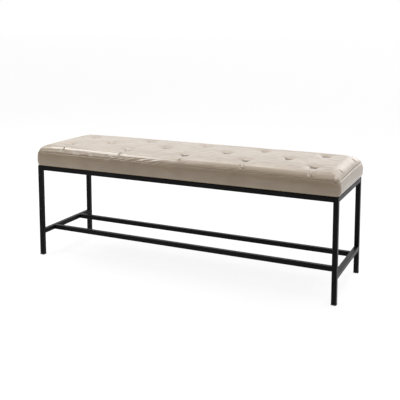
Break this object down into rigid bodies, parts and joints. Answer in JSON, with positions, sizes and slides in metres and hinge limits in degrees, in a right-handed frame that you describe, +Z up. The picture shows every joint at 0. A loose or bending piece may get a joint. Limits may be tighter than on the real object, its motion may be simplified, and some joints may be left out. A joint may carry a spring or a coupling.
{
  "type": "entryway bench",
  "caption": "Long low bench with a tufted, upholstered seat on a welded black square-tube frame with low stretchers.",
  "frame": {"origin": "on the floor, under the middle of the bench", "axes": "+X along the bench to the right, +Y from front to back, +Z up"},
  "size_m": [1.248, 0.364, 0.4576],
  "materials": {
    "frame_steel": "black powder coat, satin with a fine grain",
    "foot_plastic": "moulded, matt",
    "plywood": "raw, sanded",
    "foam": "open-cell polyurethane foam",
    "wadding": "bonded polyester wadding",
    "faux_leather": "coated faux leather, semi-gloss with a fine grain",
    "twine": "twisted polyester twine",
    "anchor_plastic": "moulded, matt",
    "dust_cloth": "spunbond non-woven, matt",
    "zinc_steel": "bright zinc plate"
  },
  "bodies": {
    "root": {"leg_front_left": "frame_steel", "leg_front_right": "frame_steel", "leg_back_left": "frame_steel", "leg_back_right": "frame_steel", "top_rail_front": "frame_steel", "top_rail_back": "frame_steel", "end_rail_left": "frame_steel", "end_rail_right": "frame_steel", "crossbar_left": "frame_steel", "crossbar_right": "frame_steel", "stretcher_front": "frame_steel", "stretcher_back": "frame_steel", "seat_bearer_left": "frame_steel", "seat_bearer_right": "frame_steel", "corner_plate_front_left": "frame_steel", "corner_plate_front_right": "frame_steel", "corner_plate_back_left": "frame_steel", "corner_plate_back_right": "frame_steel", "foot_cap_front_left": "foot_plastic", "foot_cap_front_right": "foot_plastic", "foot_cap_back_left": "foot_plastic", "foot_cap_back_right": "foot_plastic", "seat_board": "plywood", "foam_core": "foam", "wadding_wrap": "wadding", "cover_band": "faux_leather", "cover_top": "faux_leather", "tuft_ties": "twine", "tuft_anchors": "anchor_plastic", "dust_cover": "dust_cloth", "hem_staples": "zinc_steel", "tee_nuts": "zinc_steel", "corner_bolts": "zinc_steel", "corner_washers": "zinc_steel", "bearer_bolts": "zinc_steel", "bearer_washers": "zinc_steel"}
  },
  "joints": []
}
